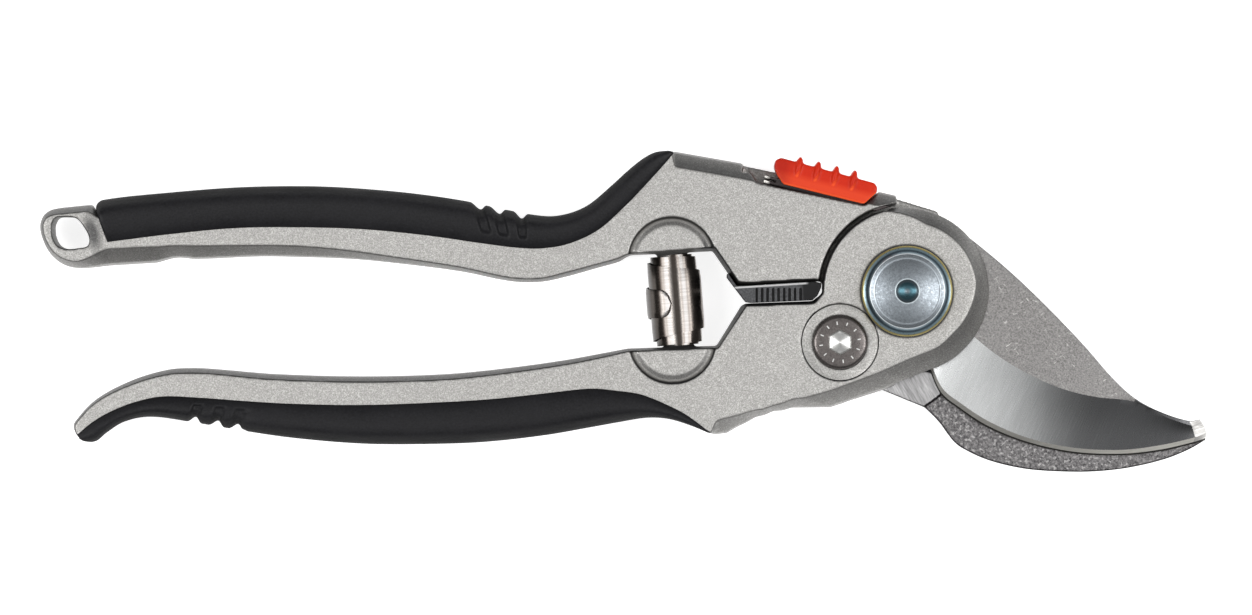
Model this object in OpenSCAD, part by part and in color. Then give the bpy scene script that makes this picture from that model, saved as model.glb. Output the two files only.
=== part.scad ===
// Bypass pruning shears with forged handles, rubber grips and a volute spring.
// They lie on their back, closed: the pivot's axis is Z through the origin, the
// front faces +Z, the blades point to +X and the handles to -X. Millimetres.

/* [Handles] */
// Thickness of the forged handles, back face to front face
body_t = 14; // [13.6:0.1:14.6]
// How far the rubber grips stand proud of each face
grip_proud = 1.5; // [1.2:0.1:1.8]
// Height of the bevel along the forged edges
bevel_h = 3.5; // [2.5:0.1:4.5]
// Share of a grip's width that lies beyond the metal's edge
grip_share = 0.34; // [0.25:0.01:0.5]
// Depth of the finger grooves in the grips
groove_depth = 1.1; // [0.6:0.1:1.4]

/* [Pivot] */
// Radius of the boss that turns in the upper handle
boss_r = 16.1; // [15.8:0.1:16.2]
// Radius of the arc that the boss turns in
boss_seat_r = 16.8; // [16.6:0.1:17]
// Radius of the pivot bolt's shank
bolt_r = 5; // [4.4:0.1:5.2]
// Radius of the pivot bolt's head
bolt_head_r = 8.6; // [8.2:0.1:9]
// Radius of the thread that takes the nut
thread_r = 4; // [3.4:0.1:4.2]
// Number of teeth on the pivot nut
nut_teeth = 24; // [18:1:30]

/* [Blades] */
// Thickness of the cutting blade
blade_t = 3; // [2.6:0.1:3.2]
// Thickness of the counter blade
hook_t = 3.6; // [3.2:0.1:3.8]
// Depth of the relief on the counter blade's front
hook_relief = 0.7; // [0.4:0.1:1]

/* [Lock] */
// How far the thumb lock slides back
lock_travel = 3.6; // [3:0.1:3.6]
// Width of the red thumb button, back to front
button_w = 9.6; // [9:0.1:9.7]

/* [Spring] */
// Radius of the outermost turn of the volute spring
spring_r = 5.4; // [5:0.1:5.6]
// Thickness of the spring's strip
strip_t = 0.75; // [0.5:0.05:0.8]

/* [Hidden] */
$fn = 96;

// Clearances: a running fit, a sliding face, and air around loose shapes
fit = 0.05;
slide = 0.05;
air = 0.15;
// A cut runs this far past the surface that it opens
past = 30;

// Heights of the layers, from the plane that the shears lie on
z_back = grip_proud;
z_front = z_back + body_t;
z_mid = (z_back + z_front) / 2;
plate_t = 3.5;
z_hook = z_back + plate_t;
z_slide = z_hook + hook_t;
z_blade = z_slide + slide;
z_plate = z_blade + blade_t;
washer_t = 0.4;
z_head = z_front + washer_t;
head_t = 2.5;

// Colours
metal = [0.73, 0.72, 0.70];
rubber = [0.16, 0.16, 0.17];
steel = [0.62, 0.62, 0.63];
zinc = [0.52, 0.56, 0.60];
red = [0.88, 0.17, 0.08];

// ---- Curves and solids from outlines ----

function unit(v) = v / norm(v);

// Direction of the smooth curve through p at its point i
function slope(p, i) = let(
    a = p[max(i - 1, 0)],
    b = p[min(i + 1, len(p) - 1)]
) (b - a) / (norm(p[i] - a) + norm(b - p[i]));

// Point of the smooth curve through p at u, which counts the points of p from 0
function at(p, u) = let(
    i = min(floor(u), len(p) - 2),
    t = u - i,
    h = norm(p[i + 1] - p[i]),
    rise = t * t * (3 - 2 * t)
) (1 - rise) * p[i] + rise * p[i + 1]
    + t * (1 - t) * (1 - t) * h * slope(p, i)
    - t * t * (1 - t) * h * slope(p, i + 1);

// The smooth curve through p, with n steps from each point to the next
function smooth(p, n = 5) = [for (k = [0 : n * (len(p) - 1)]) at(p, k / n)];

// Arc about the pivot from angle a to angle b in n steps; its bevel is looked up by angle
function pivot_arc(r, a, b, n, bevel) = [
    for (k = [0 : n])
        let(g = a + (b - a) * k / n)
        [r * cos(g), r * sin(g), lookup(g, bevel)]
];

// Inward mitre at point i of a clockwise outline
function mitre(p, i) = let(
    n = len(p),
    a = p[(i + n - 1) % n],
    b = p[i],
    c = p[(i + 1) % n],
    sum = unit([b.x - a.x, b.y - a.y]) + unit([c.x - b.x, c.y - b.y]),
    m = unit(sum)
) [m.y, -m.x] / max(norm(sum) / 2, 0.75);

// The outline at height z, moved in by the share k of each point's own bevel
function ring(p, k, z) = [
    for (i = [0 : len(p) - 1])
        let(m = mitre(p, i))
        [p[i].x + k * p[i][2] * m.x, p[i].y + k * p[i][2] * m.y, z]
];

// The corners of a flat ring in its own plane, turning left
function flat(r) = let(
    n = len(r),
    fans = [for (i = [0 : n - 1]) cross(r[i] - r[0], r[(i + 1) % n] - r[0])],
    normal = unit([for (i = [0 : n - 1]) 1] * fans),
    along = unit(r[1] - r[0]),
    up = cross(normal, along)
) [for (q = r) [q * along, q * up]];

// How far the way from a by b to c turns left at b
function turn(a, b, c) = cross(b - a, c - b);

// Whether the triangle a, b, c holds the point q
function holds(a, b, c, q) = turn(a, b, q) >= 0 && turn(b, c, q) >= 0 && turn(c, a, q) >= 0;

// Whether corner i can be cut off: s lists the corners of p that are left
function is_ear(p, s, i) = let(
    n = len(s),
    a = p[s[(i + n - 1) % n]],
    b = p[s[i]],
    c = p[s[(i + 1) % n]]
) turn(a, b, c) > 0 && [
    for (k = s) if (p[k] != a && p[k] != b && p[k] != c && holds(a, b, c, p[k])) k
] == [];

// The first corner from i on that can be cut off
function next_ear(p, s, i) = i > 2 * len(s) || is_ear(p, s, i % len(s)) ? i % len(s) : next_ear(p, s, i + 1);

// Triangles that fill the outline p, cut off it one corner at a time
function fill_in(p, s, i, done) = len(s) < 3 ? done : let(
    n = len(s),
    e = next_ear(p, s, i),
    rest = [for (k = [0 : n - 1]) if (k != e) s[k]]
) fill_in(p, rest, e + 1, concat(done, [[s[(e + n - 1) % n], s[e], s[(e + 1) % n]]]));

function cap(r) = fill_in(flat(r), [for (i = [0 : len(r) - 1]) i], 0, []);

// Solid through rings of equal length, each clockwise as seen from the last one
module loft(rings) {
    n = len(rings[0]);
    last = len(rings) - 1;
    sides = [
        for (i = [0 : last - 1], j = [0 : n - 1])
            let(k = (j + 1) % n)
            [i * n + j, i * n + k, (i + 1) * n + k, (i + 1) * n + j]
    ];
    base = [for (t = cap(rings[0])) [t[2], t[1], t[0]]];
    top = [for (t = cap(rings[last])) t + last * n * [1, 1, 1]];
    polyhedron([for (r = rings) each r], concat(base, sides, top), convexity = 10);
}

// Forged body: a steep bevel along both faces and a slight draft to the parting line
module forged(p) {
    draft = 0.12;
    loft([
        ring(p, 1, z_back),
        ring(p, draft, z_back + bevel_h),
        ring(p, 0, z_mid),
        ring(p, draft, z_front - bevel_h),
        ring(p, 1, z_front)
    ]);
}

module slab(p, z0, z1) {
    translate([0, 0, z0]) linear_extrude(z1 - z0) polygon([for (q = p) [q.x, q.y]]);
}

module disc(r, z0, z1) {
    translate([0, 0, z0]) cylinder(r = r, h = z1 - z0);
}

// ---- Grips: a C-shaped section swept between two curves ----

// Section from the metal's face to the outer edge: share of the width, height above the face
grip_section = [
    [0, 0.2], [0.05, 0.6], [0.18, 1.1], [0.38, 1.42], [0.57, 1.5],
    [0.74, 1.2], [0.87, 0.1], [0.96, -2.2], [1, -5]
];

// Depth at u of grooves centred at the values in centres
function groove(u, centres, half) = max([
    for (c = centres) abs(u - c) < half ? (1 + cos(180 * (u - c) / half)) / 2 : 0
]) * groove_depth;

function wall(edge, line, u) = let(o = at(edge, u)) o + grip_share * (at(line, u) - o);

// One side of the section, from the metal to the outer edge
function grip_side(edge, line, u, cut) = let(
    o = at(edge, u),
    b = at(line, u),
    width = norm(b - o),
    out = (o - b) / width
) [
    for (s = grip_section)
        let(fade = max(0, (s[0] - 0.35) / 0.65), swell = s[1] > 0 ? min(1, width / 5) : 1)
        [each (b + out * (s[0] * width - fade * cut)), s[1] * swell * grip_proud / 1.5 - 0.5 * fade * cut]
];

function grip_ring(edge, line, u, cut) = let(
    side = grip_side(edge, line, u, cut),
    b = at(line, u),
    k = wall(edge, line, u),
    n = len(side)
) [
    [k.x, k.y, z_front],
    [b.x, b.y, z_front],
    for (q = side) [q.x, q.y, z_front + q.z],
    for (i = [n - 1 : -1 : 0]) [side[i].x, side[i].y, z_back - side[i].z],
    [b.x, b.y, z_back],
    [k.x, k.y, z_back]
];

module grip(edge, line, steps, centres, half) {
    color(rubber) loft([for (u = steps) grip_ring(edge, line, u, groove(u, centres, half))]);
}

// Steps along a grip: three to a station, and eleven between the ends of its grooves
function grip_steps(stations, from, to) = [
    for (k = [0 : 3 * from - 1]) k / 3,
    for (k = [0 : 11 * (to - from)]) from + k / 11,
    for (k = [3 * to + 1 : 3 * stations]) k / 3
];

// Upper grip: its outer edge, and its line on the metal's face
upper_edge = [
    [-154.3, 16.4], [-152.8, 17.4], [-140, 18.8], [-126.7, 19.8], [-114, 20], [-104.6, 19.6],
    [-93.6, 18.6], [-84, 17.2], [-76, 15.5], [-68.5, 14.3], [-64.3, 14.8], [-60.4, 16.5],
    [-56.2, 20], [-52.8, 23.1], [-50, 25.3], [-47.6, 26.5], [-44.6, 26.8]
];
upper_line = [
    [-151.7, 9.3], [-149.5, 9.6], [-139, 10.9], [-126.7, 12], [-114, 12.1], [-102.5, 11.7],
    [-90.5, 10.5], [-81.5, 9.2], [-74.5, 8.3], [-69.5, 8.1], [-64.2, 9], [-58.6, 11.6],
    [-53.4, 16.2], [-50.2, 19.5], [-47.9, 22], [-46, 24.1], [-44.3, 26.1]
];
upper_steps = grip_steps(16, 7, 9);
upper_grooves = [7.33, 7.79, 8.36];

// Lower grip, from the front of the handle to its end
lower_edge = [
    [-37.2, -27.15], [-41.2, -25.5], [-45.3, -24.3], [-49.4, -24.1], [-54.5, -24.9], [-59.5, -25.8],
    [-68.7, -27.4], [-80.4, -28.7], [-92, -29.1], [-103.7, -29], [-116.8, -27.9], [-126.5, -26.5],
    [-136, -24.9], [-143.9, -23.9], [-149, -24.9], [-152.4, -27], [-154.4, -28.6], [-156.7, -28.6]
];
lower_line = [
    [-37.4, -26.8], [-41.8, -23.5], [-46.1, -21.3], [-50.5, -19.6], [-55, -18.9], [-60, -18.5],
    [-68.7, -19.4], [-79, -20.5], [-91, -21.2], [-103.7, -21.6], [-116, -21.4], [-125, -20.9],
    [-134.5, -20.2], [-141.5, -20], [-147, -21.2], [-151.4, -23], [-154.6, -24.9], [-157.4, -27.2]
];
lower_steps = grip_steps(17, 11, 13);
lower_grooves = [11.1, 11.5, 11.95];

module upper_grip() {
    grip(upper_edge, upper_line, upper_steps, upper_grooves, 0.2);
}

module lower_grip() {
    grip(lower_edge, lower_line, lower_steps, lower_grooves, 0.16);
}

// ---- Handles: outlines of [x, y, width of the bevel], clockwise ----

function grip_wall(edge, line, steps) = [for (u = steps) [each wall(edge, line, u), 0]];

rear_plate_bevel = [[-186, 0.4], [-160, 2.2], [66, 2.4]];
upper_outline = concat(
    // The hanging loop, from below round to the grip's end
    smooth([
        [-151.6, 4.85, 3.2], [-157.1, 4.35, 1.3], [-160.3, 5, 1.1], [-162.7, 6.9, 0.9], [-164.2, 9.6, 0.8],
        [-164.8, 12.4, 0.8], [-164.1, 14.5, 1], [-162.5, 15.6, 1.2], [-159, 16.1, 1.3], [-154.9, 16.5, 1.2]
    ]),
    grip_wall(upper_edge, upper_line, upper_steps),
    // The top, down to the nose in front of the thumb lock
    [[-43.9, 26.6, 3], [-31.4, 24.4, 3], [-5.3, 19, 2.8], [-1.8, 18.2, 2.6], [6.4, 15.7, 2.4]],
    pivot_arc(boss_r, 64, -186, 60, rear_plate_bevel),
    // The stop face, the spring's seat and the inner edge
    [[-17.6, 1.85, 0.4], [-29.6, 1.1, 0.5], [-32.3, 1, 0.7], [-36.8, 7.6, 0.7], [-52.4, 6.8, 0.3]],
    smooth([
        [-53.3, 6.4, 0.4], [-54.6, 5.6, 0.6], [-58.3, 4.55, 0.6], [-64.5, 2.8, 0.7], [-69.6, 1.75, 0.6],
        [-75.4, 1.9, 0.6], [-84.9, 3.8, 0.7], [-98.6, 5.5, 1.1], [-105.9, 6.15, 1.5], [-114, 6.45, 2],
        [-122.9, 6.6, 2.1], [-135, 6.1, 2.5], [-138.8, 6.35, 2.3], [-142.6, 5.4, 3.1]
    ], 4)
);

boss_bevel = [
    [-66, 4], [-44, 4.4], [-17, 3.8], [7, 2.9], [40, 2.8], [74, 2.9], [90, 1.6], [105, 0.3], [183, 0.3]
];
lower_outline = concat(
    // The end of the handle and its inner edge
    smooth([
        [-157.9, -27.1, 0.2], [-158.3, -26.2, 0.4], [-158.2, -24.9, 0.5], [-154.1, -20.5, 0.6],
        [-147.3, -16.9, 0.8], [-140.5, -14.9, 0.9], [-135.4, -14.6, 0.9], [-130.3, -14.9, 0.9],
        [-120.2, -15.75, 1], [-103.7, -16.2, 1], [-88.1, -15.8, 1], [-76.5, -14.7, 0.9],
        [-64.9, -13.1, 0.8], [-58.3, -11.9, 0.7], [-53, -10.9, 0.5]
    ], 4),
    // The spring's seat and the stop face
    [
        [-36.8, -10.4, 0.4], [-36.1, -10.4, 0.5], [-31.4, -2.8, 0.7], [-30.6, -2.35, 0.4],
        [-17.7, -1.85, 0.4], [-16.7, -0.9, 0.3]
    ],
    pivot_arc(boss_r, 181, -66, 60, boss_bevel),
    // The underside, with the shallow scallops in front of the grip
    [[1.2, -16.7, 3.9], [-4.4, -18.9, 3.6], [-14.4, -22.15, 3.2]],
    [
        [-19.9, -22.2, 1.9], [-21.7, -22.2, 1.6], [-23.5, -22.75, 1.4], [-25.2, -22.85, 1.1],
        [-26.9, -23.6, 1.2], [-28.6, -24, 1.4], [-30.3, -25, 1.9], [-32.2, -25.9, 2.3],
        [-34.1, -27.05, 2.9], [-36.4, -27.3, 2.7]
    ],
    grip_wall(lower_edge, lower_line, lower_steps)
);

// The hole in the hanging loop
loop_hole = smooth([
    [-162.4, 12.4], [-161.6, 13.9], [-159.8, 14.1], [-157.6, 13.8], [-156.2, 12.2], [-155.2, 10.2],
    [-155.4, 8.6], [-157, 8.2], [-159.4, 8], [-161.2, 8.6], [-162.2, 10.4], [-162.4, 12.4]
], 4);

// Spring seats: the middle of each flat, and the angle of the flat
upper_seat = [-44.6, 7.2];
lower_seat = [-43.2, -10.6];
spring_axis = lower_seat - upper_seat;
spring_tilt = atan2(spring_axis.y, spring_axis.x) + 90;
spring_l = norm(spring_axis);
peg_r = 2.8;
peg_l = 3.4;
peg_root = 2;
upper_groove_at = [-44.6, 5.8];
lower_groove_at = [-44.5, -9.3];
seat_groove_r = 8.3;
seat_groove_floor = 0.6;
seat_groove_slope = 1.1;
seat_groove_depth = 0.6;

// The peg that keeps the spring on a seat, standing along the spring's axis
module peg(seat, turn) {
    translate([seat.x, seat.y, z_mid]) rotate([0, 0, spring_tilt + turn]) rotate([90, 0, 0])
        translate([0, 0, -peg_root]) cylinder(r = peg_r, h = peg_l + peg_root);
}

// The groove round a seat, on both faces: a steep outer wall, a floor, and a slope up to the seat
module seat_grooves(centre) {
    inner = seat_groove_r - seat_groove_floor;
    for (side = [0, 1]) translate([centre.x, centre.y, z_mid]) mirror([0, 0, side])
        translate([0, 0, body_t / 2]) rotate_extrude() polygon([
            [inner - seat_groove_slope, 0], [inner, -seat_groove_depth], [seat_groove_r, -seat_groove_depth],
            [seat_groove_r, 1], [inner - seat_groove_slope, 1]
        ]);
}

// Rivets of the counter blade, nut lock screw and buffer stem
rivet_r = 1.6;
rivet_spots = [[-3.5, 11.3], [11.8, 2], [3.5, -11.3]];
lock_plate_turn = 148;
lock_plate_l = 14.2;
lock_plate_w = 4.8;
lock_plate_z = 0.6;
lock_screw_spot = lock_plate_l * [cos(lock_plate_turn), sin(lock_plate_turn)];
lock_screw_r = 1.25;
stem = [[-26.5, 0.5, 5], [-20.5, 4.2, 12]];
nut_r = 8.6;
nut_seat_r = 9.3;
nut_t = 2.95;
nut_seat_depth = 1.5;
nut_tooth_h = 0.9;

module box(a, b, grow = 0) {
    translate(a - [grow, grow, grow]) cube(b - a + 2 * grow * [1, 1, 1]);
}

// ---- The thumb lock's own frame: +X down its slope to the pivot, +Y up out of the handle ----

lock_at = [-23.9, 20.3];
lock_tilt = -13.9;
slider_low = -0.55;
slider_high = 0.95;
slider_z = [6.5, 13.5];
slot_x = [5.9, 5.9 + lock_travel];
detent_x = 1.5;
detent_bore_r = 1.3;
detent_bore_l = 7.4;
ball_r = 1.2;
guide_screw_r = 0.8;
guide_screw_l = 5;
guide_collar_r = 1;
lock_z = 10;

module on_lock() {
    translate([lock_at.x, lock_at.y, 0]) rotate([0, 0, lock_tilt]) children();
}

// Everything that is cut out of the upper handle for the lock
module lock_cuts() {
    tail_x = -4.2 - lock_travel;
    on_lock() {
        slab([[-4.6, -0.85], [-8.2, 2.6], [-8.2, 9], [20.3, 9], [18.35, 2.9], [16.45, -0.1]], 5.5, past);
        translate([tail_x, slider_low - fit, slider_z[0] - fit])
            cube([30, slider_high - slider_low + 2 * fit, slider_z[1] - slider_z[0] + 2 * fit]);
        translate([detent_x, slider_low, lock_z]) rotate([90, 0, 0])
            cylinder(r = detent_bore_r, h = detent_bore_l);
        translate([slot_x[0], slider_low, lock_z]) rotate([90, 0, 0])
            cylinder(r = guide_screw_r + fit, h = guide_screw_l);
    }
}

module upper_handle() {
    color(metal) difference() {
        union() {
            forged(upper_outline);
            peg(upper_seat, 0);
        }
        slab(loop_hole, -1, past);
        // The boss turns in this arc, in front of the rear plate
        disc(boss_seat_r, z_hook, past);
        translate([-1.85, -past, z_hook]) cube([past, 2 * past, past]);
        disc(thread_r + fit, -1, past);
        disc(nut_seat_r, -1, z_back + nut_seat_depth);
        for (s = rivet_spots) translate([s.x, s.y, -1]) cylinder(r = rivet_r + 0.02, h = past);
        translate([lock_screw_spot.x, lock_screw_spot.y, -1]) cylinder(r = lock_screw_r + 0.02, h = 5.5);
        box(stem[0] - [0, 3, 0], stem[1], 0.02);
        seat_grooves(upper_groove_at);
        lock_cuts();
    }
}

// ---- The lower handle and what turns with it ----

blade_screw_at = [-12.7, -9.7];
tang_r = 6;
tang_disc_r = 14.6;
screw_r = 3;
screw_washer_r = 7.2;
screw_washer_t = 1.5;
screw_head_r = 5.2;
screw_head_seat = 0.4;
socket_r = 2.31;
notch_x = 15;
notch_l = 6;
notch_air = 0.2;
bush_r = 6;
// The counter blade's neck swings through this space as the shears open
neck_sweep = [
    [0, 0], [-13.4, -9.8], [-15.3, -12.6], [-14.6, -16.4], [-12, -20.4], [-8, -25], [4, -28], [14, -24]
];

module lower_handle() {
    color(metal) difference() {
        union() {
            forged(lower_outline);
            peg(lower_seat, 180);
        }
        // Under the front plate: the blade's tang and the rear plate of the other handle
        disc(boss_seat_r, -1, z_plate);
        translate([-2, -past, -1]) cube([past, 2 * past, z_plate + 1]);
        translate([blade_screw_at.x, blade_screw_at.y, -1]) cylinder(r = tang_r + air, h = z_plate + 1);
        slab(neck_sweep, -1, z_slide + 0.2);
        disc(bush_r + 0.02, -1, past);
        translate([blade_screw_at.x, blade_screw_at.y, -1]) cylinder(r = screw_r + 0.2, h = past);
        translate([blade_screw_at.x, blade_screw_at.y, z_front - screw_washer_t])
            cylinder(r = screw_washer_r + fit, h = past);
        // The notch that the lock's tongue drops into
        on_lock() translate([notch_x, slider_low - notch_air, z_blade - 1])
            cube([notch_l, slider_high - slider_low + 2 * notch_air, z_front - z_blade - 0.65]);
        seat_grooves(lower_groove_at);
    }
}

// Cutting blade: lines along it as [x, y, height of the front surface there]
spine = [
    [8.5, 12.7, z_plate], [13.1, 9.3, z_plate], [20, 3.5, z_plate], [26.9, -3.1, z_plate],
    [33.7, -10.2, z_plate], [39.5, -16.8, z_plate - 0.2], [43.7, -20.5, z_plate - 0.5],
    [48.5, -23, z_plate - 1.1], [53.9, -24.7, z_plate - 1.7], [55.7, -24.4, z_blade + 0.4]
];
ground = [
    [7, -3, z_plate], [13.4, -9.1, z_plate], [18.2, -12.8, z_plate], [22.6, -15.4, z_plate],
    [29.2, -18.4, z_plate], [36, -20.1, z_plate - 0.2], [43.3, -21, z_plate - 0.55],
    [48.6, -23.6, z_plate - 1.15], [54.4, -25.6, z_plate - 1.75], [56.5, -25.6, z_blade + 0.35]
];
land = [
    [4.6, -13.2, z_blade + 1], [6.9, -18.4, z_blade + 1], [10.4, -21.3, z_blade + 1],
    [16, -24.9, z_blade + 1], [23.5, -28, z_blade + 1], [32, -29.8, z_blade + 1], [41, -30.2, z_blade + 1],
    [48.5, -29.3, z_blade + 0.9], [55.1, -27.8, z_blade + 0.8], [57.3, -27, z_blade + 0.3]
];
edge = [
    [4.1, -13.8, z_blade + 0.3], [6.6, -19.5, z_blade + 0.3], [9.9, -22.3, z_blade + 0.3],
    [15.6, -26, z_blade + 0.3], [23.2, -29, z_blade + 0.3], [31.8, -30.85, z_blade + 0.3],
    [41, -31.25, z_blade + 0.3], [48.5, -30.5, z_blade + 0.3], [54.6, -29.1, z_blade + 0.25],
    [57, -28.4, z_blade + 0.2]
];

function blade_ring(u) = let(s = at(spine, u), g = at(ground, u), m = at(land, u), e = at(edge, u)) [
    [g.x, g.y, z_blade], [m.x, m.y, z_blade], [e.x, e.y, z_blade], e, m, g, s, [s.x, s.y, z_blade]
];

module cutting_blade() {
    color(steel) difference() {
        union() {
            loft([for (k = [0 : 4 * (len(spine) - 1)]) blade_ring(k / 4)]);
            disc(tang_disc_r, z_blade, z_plate);
            translate([blade_screw_at.x, blade_screw_at.y, z_blade]) cylinder(r = tang_r, h = blade_t);
        }
        disc(bush_r + 0.02, -1, past);
        translate([blade_screw_at.x, blade_screw_at.y, -1]) cylinder(r = screw_r + fit, h = past);
    }
}

module pivot_bush() {
    color("goldenrod") difference() {
        disc(bush_r, z_blade, z_front - fit);
        disc(bolt_r + fit, -1, past);
    }
}

module blade_screw_washer() {
    color(metal) translate([blade_screw_at.x, blade_screw_at.y, z_front - screw_washer_t]) difference() {
        cylinder(r = screw_washer_r, h = screw_washer_t);
        translate([0, 0, -1]) cylinder(r = screw_r + fit, h = past);
        translate([0, 0, screw_washer_t - screw_head_seat]) cylinder(r = screw_head_r + fit, h = past);
    }
}

// Button head screw with a 4 mm hexagon socket
module blade_screw() {
    base = z_front - screw_head_seat;
    color(steel) translate([blade_screw_at.x, blade_screw_at.y, 0]) difference() {
        union() {
            disc(screw_r, z_blade + 0.1, base + 0.5);
            translate([0, 0, base]) rotate_extrude() polygon([
                [0, 0], [screw_head_r, 0], [screw_head_r, 0.5], [4.9, 1.1], [4.3, 1.6], [3.4, 2], [2.6, 2.15],
                [0, 2.15]
            ]);
        }
        translate([0, 0, base + 0.6]) cylinder(r = socket_r, h = past, $fn = 6);
    }
}

// ---- Pivot ----

module pivot_bolt() {
    dimple_depth = 1.3;
    color(zinc) difference() {
        union() {
            translate([0, 0, z_head]) rotate_extrude() polygon([
                [0, 0], [bolt_head_r - 0.3, 0], [bolt_head_r, 0.3], [bolt_head_r, 1.1],
                [bolt_head_r - 0.4, 1.5], [bolt_head_r - 0.9, 1.4], [bolt_head_r - 1.1, 1.9],
                [bolt_head_r - 1.6, head_t], [0, head_t]
            ]);
            disc(bolt_r, z_hook, z_head + 1);
            disc(thread_r, 0, z_hook + 1);
        }
        translate([0, 0, z_head + head_t - dimple_depth])
            cylinder(r1 = 1.2, r2 = 2.3, h = dimple_depth + 0.01);
    }
}

module pivot_washer() {
    color(steel) difference() {
        disc(bolt_head_r - 0.7, z_front, z_head);
        disc(bolt_r + fit, -1, past);
    }
}

// Outline of the nut: teeth of equal width round the rim
function nut_outline(grow) = [
    for (k = [0 : nut_teeth - 1], q = [[0.1, 1], [0.4, 0], [0.6, 0], [0.9, 1]])
        let(g = 360 * (k + q[0]) / nut_teeth, r = nut_r - nut_tooth_h + q[1] * nut_tooth_h + grow)
        [r * cos(g), r * sin(g)]
];

module pivot_nut() {
    color(zinc) difference() {
        slab(nut_outline(0), 0, nut_t);
        disc(thread_r + 0.02, -1, past);
    }
}

// Small plate whose end sits between the nut's teeth and keeps it from turning
module nut_lock_plate() {
    color(steel) difference() {
        translate([0, 0, lock_plate_z]) rotate([0, 0, lock_plate_turn])
            linear_extrude(z_back - lock_plate_z) union() {
                translate([7.8, -lock_plate_w / 2]) square([lock_plate_l - 7.8, lock_plate_w]);
                translate([lock_plate_l, 0]) circle(r = lock_plate_w / 2);
            }
        slab(nut_outline(air), -1, past);
        translate([lock_screw_spot.x, lock_screw_spot.y, -1]) cylinder(r = lock_screw_r + fit, h = past);
    }
}

module nut_lock_screw() {
    color(steel) translate([lock_screw_spot.x, lock_screw_spot.y, 0]) difference() {
        union() {
            disc(2.1, 0.05, lock_plate_z);
            disc(lock_screw_r, 0.3, 4.4);
        }
        translate([-3, -0.3, -0.9]) cube([6, 0.6, 1.2]);
    }
}

// ---- Counter blade ----

function reverse(p) = [for (i = [len(p) - 1 : -1 : 0]) p[i]];

// The heel beside the pivot, the outer edge, and the jaw's edge, clockwise from the heel to the tip and back
hook_heel = [[-6.5, -12.5], [-4.5, -18.8]];
hook_outer = smooth([
    [3.7, -22.2], [6.3, -24.8], [9, -28.4], [10.8, -29.9], [15.8, -32.2], [22.5, -33.8], [29.2, -34.35],
    [36, -34.35], [42.7, -33.6], [49.4, -32], [53.9, -30.2], [56.9, -28.5]
]);
jaw_edge = smooth([
    [54.2, -26.6], [49, -26.6], [42, -26.8], [33.6, -25.9], [26, -23.3], [19.4, -19.4], [15.6, -15],
    [13.6, -10.8], [13.2, -5.5]
], 4);
// Where the relief meets the land along the jaw's edge
jaw_step = smooth([
    [54.5, -27.4], [49, -27.7], [42, -28.2], [33, -27.3], [25, -24.6], [18, -20.3], [13.8, -15], [12.6, -9]
], 4);
neck = [[3.3, -22], [4.8, -21], [6.4, -19.8], [12.6, -11], [0, 0]];

module counter_blade() {
    z_relief = z_slide - hook_relief;
    color([0.38, 0.36, 0.35]) difference() {
        union() {
            disc(tang_disc_r, z_hook, z_slide);
            slab(concat(hook_heel, hook_outer, jaw_edge, [[0, 0]]), z_hook, z_relief);
            // The neck and the land run against the blade
            slab(concat(hook_heel, neck), z_hook, z_slide);
            slab(concat(jaw_step, reverse(jaw_edge)), z_hook, z_slide);
        }
        disc(bolt_r + fit, -1, past);
        for (s = rivet_spots) translate([s.x, s.y, -1]) cylinder(r = rivet_r + 0.02, h = past);
    }
}

module counter_blade_rivets() {
    color(steel) for (s = rivet_spots)
        translate([s.x, s.y, z_back]) cylinder(r = rivet_r, h = z_slide - z_back);
}

// ---- Stop buffer: a ribbed rubber block under the upper handle ----

module stop_buffer() {
    rib_pitch = 1.04;
    rib_gap = 0.42;
    first_gap = -28.7;
    z0 = z_back + 0.2;
    z1 = z_front - 0.5;
    color(rubber) difference() {
        union() {
            slab([
                [-34, 3.5], [-34.1, 2.6], [-30.5, -2.1], [-29.4, -2.25], [-17.9, -1.75], [-16.9, -0.8],
                [-15.9, 1.5], [-17.6, 1.85], [-29.6, 1.1], [-32.3, 1]
            ], z0, z1);
            box(stem[0] - [0, 0.2, 0], stem[1]);
        }
        disc(boss_r + 0.15, -1, past);
        // Grooves between the ribs, on both faces
        for (k = [0 : 8], z = [z0 - 1, z1 - rib_gap])
            translate([first_gap + k * rib_pitch, -4, z]) cube([rib_gap, 4.6, 1 + rib_gap]);
    }
}

// ---- Thumb lock pieces ----

module lock_slider() {
    color(steel) difference() {
        on_lock() difference() {
            translate([-3.3, slider_low, slider_z[0]])
                cube([26, slider_high - slider_low, slider_z[1] - slider_z[0]]);
            // The slot that runs along the guide screw
            for (x = slot_x) translate([x, 3, lock_z]) rotate([90, 0, 0])
                cylinder(r = guide_collar_r + fit, h = 6);
            translate([slot_x[0], -3, lock_z - guide_collar_r - fit])
                cube([lock_travel, 6, 2 * (guide_collar_r + fit)]);
            // The saw cut in the tail
            translate([-4, 0.1, 0]) cube([3, 0.3, past]);
        }
        disc(boss_r + 0.2, -1, past);
    }
}

button_profile = [
    [0.4, 0.1], [-1.1, 1.5], [-2.05, 2.9], [-2.1, 4.2], [-1.2, 4.9], [17.2, 4.5], [17.9, 3.9], [18.1, 2.9],
    [16.2, 0.1]
];
button_z = 15.3;

// One of the ribs across the button's top
function button_rib(x, w) = [
    [x - w / 2, 2.2], [x + w / 2, 2.2], [x + w / 2, 5.5], [x + 0.2, 5.85], [x - 0.2, 5.85], [x - w / 2, 5.5]
];

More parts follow.
